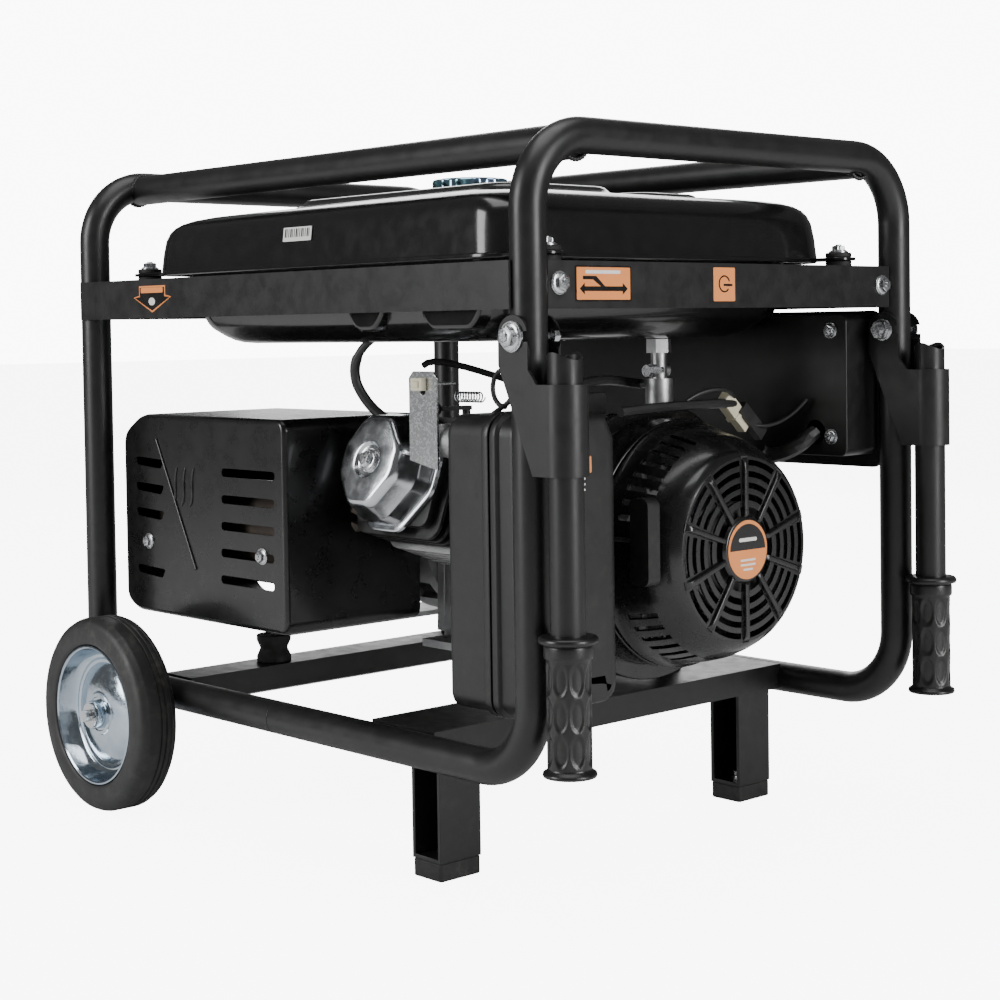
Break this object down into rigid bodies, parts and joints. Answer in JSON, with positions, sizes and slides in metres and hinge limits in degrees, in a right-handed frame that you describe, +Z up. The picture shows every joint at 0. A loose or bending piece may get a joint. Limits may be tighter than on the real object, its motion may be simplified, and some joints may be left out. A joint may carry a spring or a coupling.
{
  "type": "portable generator",
  "caption": "Open-frame portable petrol generator with tube frame, fuel tank, engine, alternator, control panel, transport wheels, feet and folding lift handles.",
  "frame": {"origin": "middle of the footprint, on the ground under the centre of the bounding box", "axes": "+X towards the recoil starter and the lift handles, +Y towards the control panel, +Z up"},
  "size_m": [0.7876, 0.66, 0.688],
  "materials": {
    "satin_black_tube": "satin powder coat",
    "satin_black_sheet": "satin powder coat",
    "black_rubber": "matte moulded rubber",
    "zinc_steel": "bright zinc plate",
    "gloss_black_tank": "gloss enamel",
    "chrome_cap": "polished, blue tinted",
    "petcock_alloy": "die cast",
    "hose_rubber": "smooth rubber hose",
    "cast_alloy": "as cast",
    "black_casting": "black heat-proof paint on a casting",
    "pressed_zinc_cover": "pressed and plated",
    "ignition_black": "moulded rubber cap and lead",
    "gloss_black_shroud": "gloss enamel",
    "recoil_black": "gloss black",
    "air_box_plastic": "fine moulded grain",
    "filter_foam": "open-cell foam",
    "muffler_steel": "heat-stained sheet steel",
    "gloss_black_guard": "gloss heat-proof enamel",
    "stator_steel": "stacked laminations",
    "black_cover_plastic": "satin moulded plastic",
    "box_black": "satin moulded plastic",
    "panel_black": "fine grained",
    "socket_plastic": "moulded",
    "cable_black": "sleeved leads",
    "machined_steel": "machined",
    "rotor_copper": "varnished copper winding",
    "pulley_plastic": "moulded nylon",
    "rope_cord": "braided cord",
    "wheel_zinc": "bright plated pressing",
    "tyre_rubber": "solid ribbed rubber",
    "grip_rubber": "gloss moulded grip"
  },
  "bodies": {
    "frame": {"front_hoop": "satin_black_tube", "rear_hoop": "satin_black_tube", "top_rails": "satin_black_tube", "cross_members": "satin_black_sheet", "tank_beams": "satin_black_sheet", "leg_channels": "satin_black_sheet", "rubber_feet": "black_rubber", "axle": "zinc_steel", "axle_brackets": "satin_black_sheet", "pivot_bolts": "zinc_steel", "frame_fasteners": "zinc_steel", "rubber_mounts": "black_rubber", "tank_upper_shell": "gloss_black_tank", "tank_lower_shell": "gloss_black_tank", "filler_neck": "zinc_steel", "petcock_body": "petcock_alloy", "fuel_hose": "hose_rubber", "cylinder_block": "cast_alloy", "crankcase_cover": "cast_alloy", "cylinder_head": "black_casting", "valve_cover": "pressed_zinc_cover", "spark_plug_set": "ignition_black", "fan_housing": "gloss_black_shroud", "recoil_cover": "recoil_black", "carburettor": "cast_alloy", "control_bracket": "zinc_steel", "air_box_base": "air_box_plastic", "air_box_cover": "air_box_plastic", "air_element": "filter_foam", "muffler": "muffler_steel", "muffler_guard": "gloss_black_guard", "stator": "stator_steel", "end_bells": "cast_alloy", "alternator_cover": "black_cover_plastic", "control_box": "box_black", "control_panel": "panel_black", "panel_sockets": "socket_plastic", "wiring": "cable_black", "piston": "machined_steel", "connecting_rod": "machined_steel"},
    "crank_train": {"crankshaft": "machined_steel", "flywheel": "cast_alloy", "rotor": "rotor_copper"},
    "recoil_pulley": {"recoil_pulley": "pulley_plastic"},
    "pull_handle": {"pull_handle": "black_cover_plastic", "pull_rope": "rope_cord"},
    "fuel_cap": {"fuel_cap": "chrome_cap"},
    "petcock_lever": {"petcock_lever": "zinc_steel"},
    "choke_lever": {"choke_lever": "black_cover_plastic"},
    "oil_dipstick": {"oil_dipstick": "black_cover_plastic"},
    "key_switch": {"key_switch": "machined_steel"},
    "breaker_toggle": {"breaker_toggle": "black_cover_plastic"},
    "near_wheel": {"near_rim": "wheel_zinc", "near_tyre": "tyre_rubber"},
    "far_wheel": {"far_rim": "wheel_zinc", "far_tyre": "tyre_rubber"},
    "near_handle": {"near_handle_arm": "satin_black_sheet", "near_grip": "grip_rubber"},
    "far_handle": {"far_handle_arm": "satin_black_sheet", "far_grip": "grip_rubber"}
  },
  "joints": [
    {"name": "near_wheel_spin", "type": "hinge", "parent": "frame", "child": "near_wheel", "pos_m": [-0.29075, -0.299, 0.103], "axis": [0, 1, 0], "continuous": true},
    {"name": "far_wheel_spin", "type": "hinge", "parent": "frame", "child": "far_wheel", "pos_m": [-0.29075, 0.299, 0.103], "axis": [0, 1, 0], "continuous": true},
    {"name": "near_handle_fold", "type": "hinge", "parent": "frame", "child": "near_handle", "pos_m": [0.32625, -0.256, 0.5], "axis": [0, -1, 0], "range_deg": [0, 90]},
    {"name": "far_handle_fold", "type": "hinge", "parent": "frame", "child": "far_handle", "pos_m": [0.32625, 0.256, 0.5], "axis": [0, -1, 0], "range_deg": [0, 90]},
    {"name": "crank_spin", "type": "hinge", "parent": "frame", "child": "crank_train", "pos_m": [0.02725, 0.053, 0.291], "axis": [1, 0, 0], "continuous": true},
    {"name": "starter_pull", "type": "slide", "parent": "frame", "child": "pull_handle", "axis": [1, 0, 0], "range_m": [0, 0.5], "stiffness_N_per_m": 60, "springref_m": -0.05},
    {"name": "recoil_spin", "type": "hinge", "parent": "frame", "child": "recoil_pulley", "pos_m": [0.27725, 0.053, 0.291], "axis": [1, 0, 0], "range_deg": [0, 700]},
    {"name": "fuel_cap_turn", "type": "hinge", "parent": "frame", "child": "fuel_cap", "pos_m": [0.02925, -0.055, 0.65], "axis": [0, 0, 1], "range_deg": [0, 90]},
    {"name": "petcock_turn", "type": "hinge", "parent": "frame", "child": "petcock_lever", "pos_m": [0.16725, 0.06, 0.462], "axis": [0, -1, 0], "range_deg": [0, 90]},
    {"name": "choke_turn", "type": "hinge", "parent": "frame", "child": "choke_lever", "pos_m": [0.12725, -0.152, 0.425], "axis": [0, 0, 1], "range_deg": [0, 60]},
    {"name": "dipstick_turn", "type": "hinge", "parent": "frame", "child": "oil_dipstick", "pos_m": [0.09725, 0.13, 0.212], "axis": [0, 1, 0], "range_deg": [0, 360]},
    {"name": "key_turn", "type": "hinge", "parent": "frame", "child": "key_switch", "pos_m": [0.24725, 0.262, 0.47], "axis": [0, 1, 0], "range_deg": [0, 60]},
    {"name": "breaker_flip", "type": "hinge", "parent": "frame", "child": "breaker_toggle", "pos_m": [0.16725, 0.263, 0.469], "axis": [1, 0, 0], "range_deg": [-60, 0]}
  ],
  "couplings": [
    {"joint": "recoil_spin", "follows": "starter_pull", "rad_per_m": 23.81}
  ]
}
